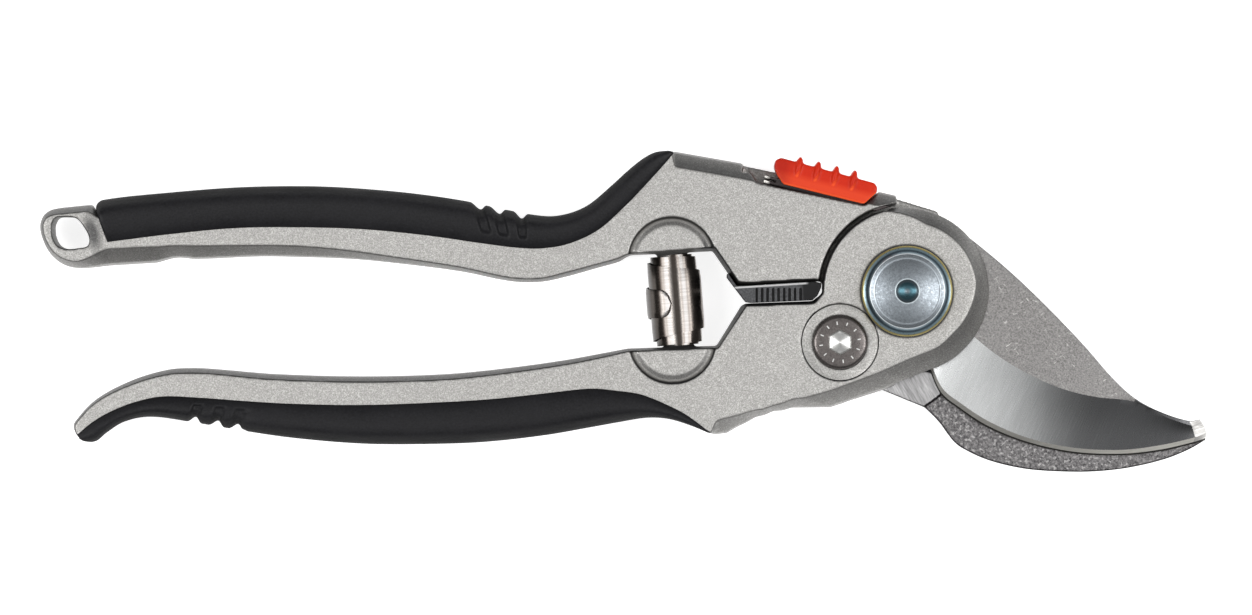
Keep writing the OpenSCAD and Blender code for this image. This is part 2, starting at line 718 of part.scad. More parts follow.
module lock_button() {
    z0 = button_z - button_w;
    guide_space = 2.2;
    color(red) on_lock() difference() {
        union() {
            slab(button_profile, z0, button_z);
            for (x = [2.5 : 3.55 : 13.2]) slab(button_rib(x, 1.05), z0 - 0.1, button_z + 0.1);
        }
        translate([-5, -1, slider_z[0] - fit])
            cube([30, 1 + slider_high, slider_z[1] - slider_z[0] + 2 * fit]);
        // Room for the guide screw's head
        translate([slot_x[0] - guide_space, 0, lock_z - guide_space])
            cube([lock_travel + 2 * guide_space, guide_space, 2 * guide_space]);
    }
}

module lock_guide_screw() {
    color(steel) on_lock() translate([slot_x[0], slider_high + 0.05, lock_z]) rotate([90, 0, 0]) {
        translate([0, 0, -0.8]) cylinder(r = 1.8, h = 0.8);
        translate([0, 0, -0.4]) cylinder(r = guide_collar_r, h = slider_high - slider_low + 0.4);
        cylinder(r = guide_screw_r, h = guide_screw_l + 1);
    }
}

module lock_detent_ball() {
    color(steel) on_lock() translate([detent_x, slider_low - 1.25, lock_z]) sphere(r = ball_r);
}

module lock_detent_spring() {
    color(steel) on_lock() translate([detent_x, slider_low - 2.5, lock_z]) rotate([90, 0, 0]) difference() {
        cylinder(r = ball_r, h = 4.8);
        translate([0, 0, -1]) cylinder(r = ball_r - 0.4, h = 8);
    }
}

// ---- Volute spring: a closed form of its outer and inner shape ----

module volute_spring() {
    in_r = peg_r + 0.3;
    mid_r = spring_r - strip_t;
    core_r = spring_r - 2 * strip_t;
    // Where the outer turn and the one inside it start and end along the axis
    outer = [3.4, spring_l - 5.2];
    middle = [1, spring_l - 2.2];
    end = spring_l - 0.5;
    color(steel) translate([upper_seat.x, upper_seat.y, z_mid]) rotate([0, 0, spring_tilt])
        rotate([90, 0, 0]) translate([0, 0, air]) rotate_extrude() polygon([
            [in_r, 0], [core_r, 0], [core_r, middle[0]], [mid_r, middle[0]], [mid_r, outer[0]],
            [spring_r, outer[0]], [spring_r, outer[1]], [mid_r, outer[1]], [mid_r, middle[1]],
            [core_r, middle[1]], [core_r, end], [in_r, end]
        ]);
}

upper_handle();
upper_grip();
counter_blade();
counter_blade_rivets();
stop_buffer();
pivot_bolt();
pivot_washer();
pivot_nut();
nut_lock_plate();
nut_lock_screw();
lock_slider();
lock_button();
lock_guide_screw();
lock_detent_ball();
lock_detent_spring();
lower_handle();
lower_grip();
cutting_blade();
pivot_bush();
blade_screw();
blade_screw_washer();
volute_spring();
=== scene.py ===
"""Bypass pruning shears, lying closed on their back. Metres; millimetre tables are scaled by MM."""
import math

import bmesh
import bpy
import numpy as np
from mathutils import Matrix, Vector


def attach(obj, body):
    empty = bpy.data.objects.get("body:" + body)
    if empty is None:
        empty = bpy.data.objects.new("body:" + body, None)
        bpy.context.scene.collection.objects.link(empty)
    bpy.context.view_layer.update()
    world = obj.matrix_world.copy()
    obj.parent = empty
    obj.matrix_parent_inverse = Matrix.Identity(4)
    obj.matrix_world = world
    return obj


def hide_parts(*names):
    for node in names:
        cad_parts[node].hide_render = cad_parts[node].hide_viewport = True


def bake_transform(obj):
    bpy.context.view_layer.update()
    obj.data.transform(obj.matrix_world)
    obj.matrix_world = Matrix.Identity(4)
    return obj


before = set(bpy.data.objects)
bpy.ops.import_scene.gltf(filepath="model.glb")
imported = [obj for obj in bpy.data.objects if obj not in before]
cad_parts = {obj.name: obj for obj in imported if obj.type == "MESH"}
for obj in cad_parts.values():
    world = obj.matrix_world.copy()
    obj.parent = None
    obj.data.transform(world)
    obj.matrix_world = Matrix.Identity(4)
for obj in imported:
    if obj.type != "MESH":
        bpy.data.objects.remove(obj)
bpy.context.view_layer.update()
MM = 0.001

# ---- Places in millimetres. The pivot's axis is X = Y = 0 and the rear lies on Z = 0 ----

# Rear face, front face and mid-plane of the handles
Z_BACK, Z_FRONT, Z_MID = 1.5, 15.5, 8.5
# The hook's sliding face, and the rear and front faces of the blade
Z_SLIDE, Z_BLADE, Z_PLATE = 8.6, 8.65, 11.65
BLADE_SCREW = (-12.7, -9.7)
# Centres and radius of the grooves round the spring's seats
SEATS, SEAT_GROOVE = ((-44.6, 5.8), (-44.5, -9.3)), 7.95
SPRING_TOP, SPRING_FOOT = (-44.6, 7.2), (-43.2, -10.6)
# Radius at which the bolt's head meets the boss
BOLT_RIM = 8.72
# The thumb lock's frame: where it starts, and its slope in degrees
LOCK_AT, LOCK_SLOPE = (-23.9, 20.3), -13.9
LOCK_COS, LOCK_SIN = math.cos(math.radians(LOCK_SLOPE)), math.sin(math.radians(LOCK_SLOPE))


# ---- Materials ----

# Colours of painted shadow and painted shade
SHADOW_BLACK, SHADE = (0.012, 0.012, 0.013), (0.02, 0.02, 0.02)


class Finish:
    """A Principled material and the few nodes that its patterns are made of."""

    def __init__(self, name, colour, metal=0.0, rough=0.5, **sockets):
        self.material = bpy.data.materials.new(name)
        self.material.use_nodes = True
        self.tree = self.material.node_tree
        self.shader = self.tree.nodes["Principled BSDF"]
        self.shader.inputs["Base Color"].default_value = (*colour, 1)
        self.shader.inputs["Metallic"].default_value = metal
        self.shader.inputs["Roughness"].default_value = rough
        for key, value in sockets.items():
            self.shader.inputs[key.replace("_", " ")].default_value = value
        self.material.diffuse_color = (*colour, 1)
        self.place = self.node("ShaderNodeTexCoord").outputs["Object"]

    def node(self, kind, **inputs):
        """A new node, its inputs set to values or linked to other nodes' outputs."""
        n = self.tree.nodes.new(kind)
        for key, value in inputs.items():
            self.put(n.inputs[key], value)
        return n

    def put(self, socket, value):
        if hasattr(value, "is_output"):
            self.tree.links.new(value, socket)
        else:
            socket.default_value = value

    def math(self, operation, a, b=0.0, c=None, clamp=False):
        n = self.tree.nodes.new("ShaderNodeMath")
        n.operation = operation
        n.use_clamp = clamp
        self.put(n.inputs[0], a)
        self.put(n.inputs[1], b)
        if c is not None:
            self.put(n.inputs[2], c)
        return n.outputs[0]

    def moved(self, centre=(0, 0, 0), turn=0.0, scale=(1, 1, 1)):
        """The object's own coordinates about centre, turned about Z by turn degrees and scaled."""
        n = self.node("ShaderNodeMapping", Vector=self.place)
        n.vector_type = "TEXTURE"
        n.inputs["Location"].default_value = centre
        n.inputs["Rotation"].default_value = (0, 0, math.radians(turn))
        n.inputs["Scale"].default_value = tuple(1 / s for s in scale)
        return n.outputs[0]

    def split(self, vector):
        return self.node("ShaderNodeSeparateXYZ", Vector=vector).outputs

    def normal(self):
        """X, Y and Z of the surface's direction."""
        return self.split(self.node("ShaderNodeTexCoord").outputs["Normal"])

    def height(self):
        """Z in millimetres."""
        return self.math("MULTIPLY", self.split(self.place)[2], 1000.0)

    def off_mid(self):
        """Distance from the mid-plane of the handles, in millimetres."""
        return self.math("ABSOLUTE", self.math("SUBTRACT", self.height(), Z_MID))

    def noise(self, scale, detail=2.0, vector=None, rough=0.5):
        n = self.node("ShaderNodeTexNoise", Scale=scale, Detail=detail, Roughness=rough)
        self.put(n.inputs["Vector"], self.place if vector is None else vector)
        return n.outputs["Fac"]

    def cells(self, scale):
        return self.node("ShaderNodeTexVoronoi", Vector=self.place, Scale=scale).outputs["Color"]

    def span(self, value, low, high, to_low=0.0, to_high=1.0):
        """value moved from low..high to to_low..to_high, and held there."""
        n = self.node("ShaderNodeMapRange", Value=value)
        for key, v in (("From Min", low), ("From Max", high), ("To Min", to_low), ("To Max", to_high)):
            n.inputs[key].default_value = v
        return n.outputs[0]

    def mix(self, share, a, b):
        n = self.tree.nodes.new("ShaderNodeMix")
        n.data_type = "RGBA"
        self.put(n.inputs["Factor"], share)
        self.put(n.inputs["A"], a if hasattr(a, "is_output") else (*a, 1))
        self.put(n.inputs["B"], b if hasattr(b, "is_output") else (*b, 1))
        return n.outputs["Result"]

    def colour(self, value):
        self.put(self.shader.inputs["Base Color"], value)

    def roughness(self, value):
        self.put(self.shader.inputs["Roughness"], value)

    def bump(self, height, depth_mm, strength=1.0, below=None):
        n = self.node("ShaderNodeBump", Height=height, Distance=depth_mm * MM, Strength=strength)
        if below is not None:
            self.put(n.inputs["Normal"], below)
        self.put(self.shader.inputs["Normal"], n.outputs[0])
        return n.outputs[0]

    def radius(self, centre):
        """Distance from the Z axis through centre, in millimetres."""
        v = self.split(self.moved(tuple(c * MM for c in centre)))
        square = self.math("ADD", self.math("MULTIPLY", v[0], v[0]), self.math("MULTIPLY", v[1], v[1]))
        return self.math("MULTIPLY", self.math("SQRT", square), 1000.0)

    def shade_beyond(self, centre, radius_mm, way):
        """Darkens what lies outside a circle about centre, on the side that way points to. Millimetres."""
        tone = self.shader.inputs["Base Color"].links[0].from_socket
        v = self.split(self.moved((centre[0] * MM, centre[1] * MM, 0)))
        length = math.hypot(*way)
        side = self.math("ADD", *(self.math("MULTIPLY", v[i], way[i] / length) for i in (0, 1)))
        outside = self.span(self.radius((*centre, 0)), radius_mm, radius_mm + 0.25)
        share = self.math("MULTIPLY", outside, self.span(side, 0.0, 1.5 * MM))
        self.colour(self.mix(share, tone, SHADOW_BLACK))


def scratches(f, turn, centre):
    """Short fine lines along the direction turn, in degrees from +X."""
    v = f.moved(centre, turn, (620.0, 2600.0, 620.0))
    return f.span(f.noise(1.0, 2.0, v), 0.66, 0.74)


def powder_coat():
    """Silver coating with a sparkling grain, and painted shade on walls and edges, in the seat grooves, by
    the stop faces, beside the loop's hole and round the bolt's head.
    """
    f = Finish("powder_coat", (0.27, 0.26, 0.25), metal=0.88, rough=0.52)
    grain = f.noise(4600.0, 3.0, rough=0.6)
    flake = f.split(f.cells(5200.0))[0]
    cloud = f.noise(150.0, 3.0)
    tone = f.mix(f.span(grain, 0.30, 0.70), (0.21, 0.205, 0.196), (0.45, 0.443, 0.428))
    tone = f.mix(f.span(flake, 0.78, 0.98, 0.0, 0.38), tone, (0.66, 0.65, 0.63))
    tone = f.mix(f.span(cloud, 0.3, 0.7, 0.0, 0.14), tone, (0.29, 0.283, 0.27))
    # Painted shade in the grooves round the spring seats
    off_groove = f.math("MINIMUM", *(groove_mask(f, seat) for seat in SEATS))
    tone = f.mix(off_groove, (0.10, 0.096, 0.09), tone)
    f.colour(loop_and_bolt_shade(f, stop_face_shade(f, painted_edge_shade(f, tone))))
    f.roughness(f.span(flake, 0.0, 1.0, 0.62, 0.44))
    below = f.bump(grain, 0.013)
    f.bump(flake, 0.003, below=below)
    return f


def painted_edge_shade(f, tone):
    """Painted shade on walls and rounded edges, less on what faces down or right, and some on what faces up.
    """
    normal = f.normal()
    steep = f.span(f.math("ABSOLUTE", normal[2]), 0.80, 0.97, 1.0, 0.0)
    edge_shade = f.math("MULTIPLY", steep, f.span(f.off_mid(), 3.6, 5.8, 0.42, 0.76))
    edge_shade = f.math("MULTIPLY", edge_shade, f.span(normal[1], -0.75, -0.35, 0.55, 1.0))
    edge_shade = f.math("MULTIPLY", edge_shade, f.span(normal[0], 0.3, 0.7, 1.0, 0.75))
    tone = f.mix(edge_shade, tone, SHADE)
    # Painted shade on what faces up
    return f.mix(f.span(normal[1], 0.4, 0.7, 0.0, 0.3), tone, (0.02, 0.02, 0.022))


def stop_face_shade(f, tone):
    """Painted shade on the walls where the stop faces meet."""
    v = f.split(f.moved((-28.0 * MM, 1.5 * MM, 0), 0.0, (1000.0, 1000.0, 1000.0)))
    along = f.span(f.math("ABSOLUTE", v[0]), 10.5, 12.0, 1.0, 0.0)
    up = f.span(f.math("ABSOLUTE", v[1]), 7.0, 9.0, 1.0, 0.0)
    steep = f.span(f.math("ABSOLUTE", f.normal()[2]), 0.9, 0.99, 0.8, 0.0)
    return f.mix(f.math("MULTIPLY", f.math("MULTIPLY", along, up), steep), tone, SHADE)


def loop_and_bolt_shade(f, tone):
    """Painted shade on the dished face between the hanging loop's hole and the grip, and a painted shadow
    round the bolt's head.
    """
    # Painted shade on an oval beside the loop's hole
    oval = f.moved((-154.6 * MM, 11.0 * MM, 0), 16.0, (520.0, 225.0, 0.01))
    dish = f.node("ShaderNodeVectorMath", Vector=oval)
    dish.operation = "LENGTH"
    tone = f.mix(f.span(dish.outputs["Value"], 0.35, 1.05, 0.8, 0.0), tone, (0.03, 0.03, 0.032))
    # Painted shadow in a ring round the bolt's head, near the front face
    ring = f.math("ABSOLUTE", f.math("SUBTRACT", f.radius((0, 0, 0)), BOLT_RIM))
    bolt_shadow = f.math("MULTIPLY", f.span(ring, 0.12, 0.40, 0.85, 0.0), f.span(f.off_mid(), 6.4, 6.8))
    return f.mix(bolt_shadow, tone, SHADOW_BLACK)


def groove_mask(f, centre):
    """0 in the groove round a spring seat, 1 elsewhere."""
    away = f.math("SUBTRACT", f.radius((*centre, 0)), SEAT_GROOVE)
    inward = f.span(f.math("MULTIPLY", away, -1.0), 0.05, 0.75)
    outward = f.span(away, 0.32, 0.5)
    off_mid = f.off_mid()
    below = f.math("MAXIMUM", f.span(off_mid, 6.97, 6.99), f.span(off_mid, 6.25, 6.2))
    return f.math("MAXIMUM", f.math("MAXIMUM", inward, outward), below)


def rubber(name, level):
    """Black rubber. level is its brightness."""
    f = Finish(name, (level, level, level * 1.15), rough=0.5, Specular_IOR_Level=0.16)
    grain = f.noise(2600.0, 3.0, rough=0.7)
    pebble = f.node("ShaderNodeTexVoronoi", Scale=1500.0)
    f.put(pebble.inputs["Vector"], f.place)
    cloud = f.noise(90.0, 3.0)
    dark, light, worn = (
        tuple(share * level * c for c in tint)
        for share, tint in ((0.6, (1, 1, 1.15)), (1.8, (1, 0.99, 1.16)), (2.6, (1, 0.99, 1.12))))
    tone = f.mix(f.span(grain, 0.3, 0.75), dark, light)
    tone = f.mix(f.span(cloud, 0.4, 0.8, 0.0, 0.35), tone, worn)
    # Painted shade darkens the outer walls, which are also duller than the faces
    face = f.math("ABSOLUTE", f.normal()[2])
    f.colour(f.mix(f.span(face, 0.3, 0.8, 0.75, 0.0), tone, (0.001, 0.001, 0.0013)))
    f.roughness(f.math("ADD", f.span(cloud, 0.3, 0.7, 0.42, 0.60), f.span(face, 0.3, 0.8, 0.35, 0.0)))
    below = f.bump(grain, 0.03)
    f.bump(pebble.outputs["Distance"], 0.03, below=below)
    return f


def buffer_block():
    """Black rubber, greyer on its ribs, with a painted highlight line along its upper edge."""
    f = rubber("buffer_rubber", 0.007)
    grain = f.noise(2400.0, 3.0)
    v = f.split(f.moved((-29.6 * MM, 1.1 * MM, 0), 3.6))
    x, y = (f.math("MULTIPLY", v[i], 1000.0) for i in (0, 1))
    on_face = f.span(f.split(f.place)[2], 14.9 * MM, 14.98 * MM)
    ribs = f.math("MULTIPLY", f.span(x, 9.2, 10.0, 1.0, 0.0), on_face)
    tone = f.mix(f.span(grain, 0.3, 0.7), (0.035, 0.036, 0.038), (0.085, 0.086, 0.09))
    tone = f.mix(ribs, (0.007, 0.007, 0.0075), tone)
    # Painted highlight: a bright line along the upper edge
    line = f.math("MULTIPLY", f.span(y, -0.5, -0.36), f.span(y, -0.16, -0.06, 1.0, 0.0))
    line = f.math("MULTIPLY", line, f.span(x, 10.3, 11.0, 1.0, 0.0))
    f.colour(f.mix(line, tone, (0.42, 0.42, 0.42)))
    return f


def hook_forged():
    """Dark forged steel with bright grains, and painted shade on its rounded rim."""
    f = Finish("hook_forged", (0.1, 0.095, 0.09), metal=0.85, rough=0.5)
    grain = f.noise(2600.0, 4.0, rough=0.7)
    spots = f.noise(1500.0, 3.0)
    tone = f.mix(f.span(grain, 0.33, 0.7), (0.030, 0.029, 0.031), (0.215, 0.207, 0.207))
    tone = f.mix(f.span(spots, 0.56, 0.66, 0.0, 0.6), tone, (0.42, 0.41, 0.405))
    # Painted shade on the rounded rim between the walls and the face
    lean = f.normal()[2]
    rim = f.math("MULTIPLY", f.span(lean, 0.12, 0.3, 0.25, 0.95), f.span(lean, 0.93, 0.995, 1.0, 0.0))
    f.colour(f.mix(rim, tone, (0.012, 0.011, 0.012)))
    f.roughness(f.span(grain, 0.3, 0.7, 0.60, 0.36))
    f.bump(grain, 0.04)
    return f


def ground_steel(name, tone_low, tone_high, turn, rough, fine, painted_light_falls=()):
    """Bare steel with fine grinding lines along turn.

    The last argument lists X in millimetres and the share of the tone there, with the two ends first: a
    painted reflection that changes the tone along X.
    """
    f = Finish(name, tone_high, metal=1.0, rough=rough)
    lines = f.noise(1.0, 3.0, f.moved((0, 0, 0), turn, (260.0, fine, 260.0)), rough=0.65)
    cloud = f.noise(1.0, 2.0, f.moved((0, 0, 0), turn, (60.0, 330.0, 60.0)))
    tone = f.mix(f.span(lines, 0.3, 0.7), tone_low, tone_high)
    tone = f.mix(f.span(cloud, 0.35, 0.7, 0.0, 0.45), tone, tuple(0.82 * c for c in tone_low))
    if painted_light_falls:
        # Painted reflection: the tone changes along X
        reach = 60
        ramp = f.node("ShaderNodeFloatCurve", Value=f.span(f.split(f.place)[0], 0.0, reach * MM))
        curve = ramp.mapping.curves[0]
        for (x, share), point in zip(painted_light_falls, (curve.points[0], curve.points[1])):
            point.location = (x / reach, share)
        for x, share in painted_light_falls[2:]:
            curve.points.new(x / reach, share)
        ramp.mapping.update()
        tone = f.mix(ramp.outputs[0], (0.02, 0.02, 0.022), tone)
    f.colour(tone)
    f.roughness(f.span(lines, 0.3, 0.7, rough + 0.07, rough - 0.04))
    f.bump(lines, 0.003)
    return f


def blasted_steel():
    """Grey blasted steel with a few short bright scratches."""
    f = Finish("blasted_steel", (0.25, 0.245, 0.24), metal=0.95, rough=0.42)
    grain = f.noise(3200.0, 4.0, rough=0.72)
    cloud = f.noise(110.0, 3.0)
    tone = f.mix(f.span(grain, 0.3, 0.72), (0.09, 0.087, 0.085), (0.27, 0.262, 0.256))
    tone = f.mix(f.span(cloud, 0.35, 0.7, 0.0, 0.25), tone, (0.19, 0.187, 0.185))
    marks = scratches(f, -52.0, (0, 0, 0))
    for turn, centre in ((-15.0, (0.007, 0.003, 0)), (38.0, (0.002, 0.009, 0))):
        marks = f.math("MAXIMUM", marks, scratches(f, turn, centre))
    patch = f.span(f.noise(260.0, 2.0), 0.42, 0.62, 0.0, 0.85)
    marks = f.math("MULTIPLY", marks, patch)
    f.colour(f.mix(marks, tone, (0.46, 0.45, 0.435)))
    f.roughness(f.span(grain, 0.3, 0.7, 0.52, 0.36))
    f.bump(grain, 0.03)
    return f


def turned_metal(name, tone, centre, rough, rims=()):
    """Metal turned about the Z axis through centre. rims lists rings of tint, painted highlight and painted
    shade: radius, width and colour.
    """
    f = Finish(name, tone, metal=1.0, rough=rough)
    r = f.radius(centre)
    lines = f.node("ShaderNodeCombineXYZ", X=f.math("MULTIPLY", r, 9.0), Y=0.0, Z=0.0).outputs[0]
    turned = f.noise(1.0, 3.0, lines, rough=0.7)
    speck = f.noise(2600.0, 4.0, rough=0.75)
    low = tuple(0.38 * c for c in tone)
    out = f.mix(f.span(speck, 0.32, 0.7), low, tone)
    out = f.mix(f.span(turned, 0.35, 0.75, 0.0, 0.35), out, tuple(min(1.0, 1.6 * c) for c in tone))
    for radius, width, colour in rims:
        away = f.math("ABSOLUTE", f.math("SUBTRACT", r, radius))
        out = f.mix(f.span(away, 0.35 * width, width, 1.0, 0.0), out, colour)
    f.colour(out)
    f.roughness(f.span(speck, 0.3, 0.7, rough + 0.1, rough - 0.06))
    f.bump(turned, 0.01)
    return f


def spring_strip():
    """Bright nickel: streaks along the spring's axis, fine brushing round it, painted reflection bands, and
    painted highlight and shade by the way it faces.
    """
    f = Finish("spring_strip", (0.5, 0.46, 0.42), metal=1.0, rough=0.14)
    across = f.normal()[0]
    reflection_bands = f.math("SINE", f.math("MULTIPLY_ADD", across, 10.0, 1.4))
    streak = f.noise(1.0, 2.0, f.moved((0, 0, 0), 4.5, (480.0, 22.0, 480.0)))
    brushed = f.noise(1.0, 2.0, f.moved((0, 0, 0), 4.5, (150.0, 3600.0, 150.0)))
    tone = f.mix(f.span(streak, 0.35, 0.65), (0.085, 0.074, 0.066), (0.20, 0.186, 0.175))
    # Painted reflection bands, set by which way the strip faces
    tone = f.mix(f.span(reflection_bands, 0.0, 0.8, 0.0, 0.9), tone, (0.03, 0.024, 0.02))
    tone = f.mix(f.span(reflection_bands, -0.5, -0.95, 0.0, 0.8), tone, (0.19, 0.185, 0.182))
    # Painted highlight where it faces right and painted shade where it faces left
    tone = f.mix(f.span(across, 0.45, 0.7), tone, (0.30, 0.26, 0.235))
    tone = f.mix(f.span(across, -0.75, -0.5, 0.6, 0.0), tone, (0.035, 0.029, 0.025))
    f.colour(f.mix(f.span(brushed, 0.35, 0.7, 0.0, 0.25), tone, (0.07, 0.06, 0.053)))
    f.roughness(f.span(brushed, 0.3, 0.7, 0.16, 0.24))
    f.bump(brushed, 0.003)
    return f


def plain_steel(name, tone, rough):
    """Bare metal with a fine grain."""
    f = Finish(name, tone, metal=1.0, rough=rough)
    grain = f.noise(1600.0, 3.0, rough=0.65)
    f.colour(f.mix(f.span(grain, 0.3, 0.7), tuple(0.65 * c for c in tone), tone))
    f.roughness(f.span(grain, 0.3, 0.7, rough + 0.12, rough - 0.05))
    f.bump(grain, 0.012)
    return f


def slider_steel():
    """Grey steel, bright at the tail that shows beside the button, with painted shade on the rest."""
    f = Finish("slider_steel", (0.4, 0.39, 0.37), metal=1.0, rough=0.34)
    grain = f.noise(1600.0, 3.0)
    unshaded_tail = f.span(f.split(f.place)[0], -26.6 * MM, -25.9 * MM, 1.0, 0.0)
    tone = f.mix(f.span(grain, 0.3, 0.7), (0.36, 0.35, 0.33), (0.60, 0.58, 0.55))
    # Painted shade on all of the slider but its tail
    f.colour(f.mix(unshaded_tail, (0.035, 0.03, 0.03), tone))
    f.roughness(f.span(grain, 0.3, 0.7, 0.42, 0.28))
    f.bump(grain, 0.01)
    return f


def red_plastic():
    """Red plastic with soft clouds in its tone, painted light on its foot and lower rim, and painted shade
    on its rear end.
    """
    f = Finish("red_plastic", (0.54, 0.022, 0.006), rough=0.34, Specular_IOR_Level=0.1)
    cloud = f.noise(260.0, 3.0)
    grain = f.noise(2600.0, 2.0)
    tone = f.mix(f.span(cloud, 0.3, 0.75, 0.0, 0.4), (0.50, 0.022, 0.006), (0.37, 0.011, 0.0035))
    # Painted light on the foot and painted shade on the rear end
    v = f.split(f.moved((LOCK_AT[0] * MM, LOCK_AT[1] * MM, 0), LOCK_SLOPE))
    tone = f.mix(f.span(v[1], 1.6 * MM, 2.8 * MM, 0.75, 0.0), tone, (0.62, 0.055, 0.018))
    tone = f.mix(f.span(v[0], 0.0, 2.2 * MM, 0.5, 0.0), tone, (0.26, 0.008, 0.004))
    # Painted highlight on the faces that lean down and towards the front
    lean = f.normal()
    low = f.math("MULTIPLY", f.span(lean[1], -0.15, -0.6), f.span(lean[2], 0.15, 0.5))
    f.colour(f.mix(low, tone, (0.80, 0.10, 0.03)))
    f.roughness(f.span(cloud, 0.3, 0.7, 0.30, 0.40))
    f.bump(grain, 0.012)
    return f


# ---- Meshes ----

def new_object(name, mesh):
    ob = bpy.data.objects.new(name, mesh)
    bpy.context.scene.collection.objects.link(ob)
    return ob


def mesh_object(name, verts_mm, faces, smooth=True):
    """A closed mesh from places in millimetres, its faces turned outwards."""
    mesh = bpy.data.meshes.new(name)
    mesh.from_pydata([tuple(c * MM for c in v) for v in verts_mm], [], faces)
    bm = bmesh.new()
    bm.from_mesh(mesh)
    bmesh.ops.remove_doubles(bm, verts=bm.verts, dist=1e-7)
    bmesh.ops.recalc_face_normals(bm, faces=bm.faces)
    bm.to_mesh(mesh)
    bm.free()
    mesh.polygons.foreach_set("use_smooth", [smooth] * len(mesh.polygons))
    return new_object(name, mesh)


def copy_of(node, name, dissolve=0.3):
    """The CAD node's mesh as one closed surface of flat polygons."""
    mesh = bpy.data.meshes.new_from_object(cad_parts[node])
    mesh.name = name
    mesh.materials.clear()
    bm = bmesh.new()
    bm.from_mesh(mesh)
    bmesh.ops.remove_doubles(bm, verts=bm.verts, dist=2e-6)
    if dissolve:
        bmesh.ops.dissolve_limit(bm, angle_limit=math.radians(dissolve), verts=bm.verts, edges=bm.edges)
    bm.to_mesh(mesh)
    bm.free()
    return new_object(name, mesh)


def bake_modifiers(ob):
    """Gives ob the mesh that its modifiers make, and removes them."""
    dg = bpy.context.evaluated_depsgraph_get()
    mesh = bpy.data.meshes.new_from_object(ob.evaluated_get(dg), depsgraph=dg)
    old = ob.data
    ob.modifiers.clear()
    ob.data = mesh
    mesh.name = ob.name
    bpy.data.meshes.remove(old)
    return ob


def soften(ob, voxel_mm, rounds):
    """Rounds every edge: the surface is remade on a fine grid, then smoothed a little."""
    m = ob.modifiers.new("Remesh", "REMESH")
    m.mode = "VOXEL"
    m.voxel_size = voxel_mm * MM
    m.use_smooth_shade = True
    s = ob.modifiers.new("Smooth", "SMOOTH")
    s.factor = 0.5
    s.iterations = rounds
    bake_modifiers(ob)
    ob.data.polygons.foreach_set("use_smooth", [True] * len(ob.data.polygons))
    return ob


def cut_away(ob, low, high):
    """Cuts the box from low to high, in the thumb lock's own frame in millimetres, out of ob."""
    bm = bmesh.new()
    bmesh.ops.create_cube(bm, size=1.0)
    for v in bm.verts:
        v.co = on_lock([a + (b - a) * (c + 0.5) for a, b, c in zip(low, high, v.co)])
    cutter = new_object("cutter", bpy.data.meshes.new("cutter"))
    bm.to_mesh(cutter.data)
    bm.free()
    m = ob.modifiers.new("Cut", "BOOLEAN")
    m.operation = "DIFFERENCE"
    m.object = cutter
    bake_modifiers(ob)
    bpy.data.meshes.remove(cutter.data)
    return ob


def on_lock(place):
    """From the lock's frame, +X down its slope and +Y out of the handle, to metres in the shears' frame."""
    x, y, z = place
    east = LOCK_AT[0] + x * LOCK_COS - y * LOCK_SIN
    north = LOCK_AT[1] + x * LOCK_SIN + y * LOCK_COS
    return (east * MM, north * MM, z * MM)


def edge_round(ob, width_mm, angle=30.0):
    """Bevels the edges sharper than angle, in degrees."""
    ob.data.polygons.foreach_set("use_smooth", [True] * len(ob.data.polygons))
    m = ob.modifiers.new("Bevel", "BEVEL")
    m.width = width_mm * MM
    m.segments = 2
    m.limit_method = "ANGLE"
    m.angle_limit = math.radians(angle)
    m.harden_normals = True
    return ob


def finish_piece(ob, body, material, nodes):
    """Gives ob its material and slot, and lets it ride on body in place of the CAD nodes."""
    if material is not None:
        ob.data.materials.clear()
        ob.data.materials.append(material)
    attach(ob, body)
    if nodes:
        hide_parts(*nodes)


def turned(name, centre, rings, segments):
    """A solid of revolution about Z. Each ring is a radius, or a function of the angle, and a height."""
    verts, faces = [], []
    for radius, z in rings:
        for k in range(segments):
            g = 2 * math.pi * k / segments
            r = radius(g) if callable(radius) else radius
            verts.append((centre[0] + r * math.cos(g), centre[1] + r * math.sin(g), z))
    for i in range(len(rings) - 1):
        for k in range(segments):
            j = (k + 1) % segments
            a, b = i * segments, (i + 1) * segments
            faces.append((a + k, a + j, b + j, b + k))
    return mesh_object(name, verts, faces)


def hexagon(flats):
    """Radius by angle of a hexagon, from the distance between its flats."""
    return lambda g: flats / 2 / math.cos((g + math.pi / 6) % (math.pi / 3) - math.pi / 6)


# ---- The grips: the CAD's own curves, swept finely ----

def slope(p, i):
    """Direction at point i of the smooth curve through the points p."""
    a, b = p[max(i - 1, 0)], p[min(i + 1, len(p) - 1)]
    return (b - a) / (np.linalg.norm(p[i] - a) + np.linalg.norm(b - p[i]))


def at(p, u):
    """Place on the smooth curve through the points p, at the share u % 1 from point int(u) to the next."""
    i = min(int(u), len(p) - 2)
    t = u - i
    h = np.linalg.norm(p[i + 1] - p[i])
    rise = t * t * (3 - 2 * t)
    return ((1 - rise) * p[i] + rise * p[i + 1] + t * (1 - t) ** 2 * h * slope(p, i)
            - t * t * (1 - t) * h * slope(p, i + 1))


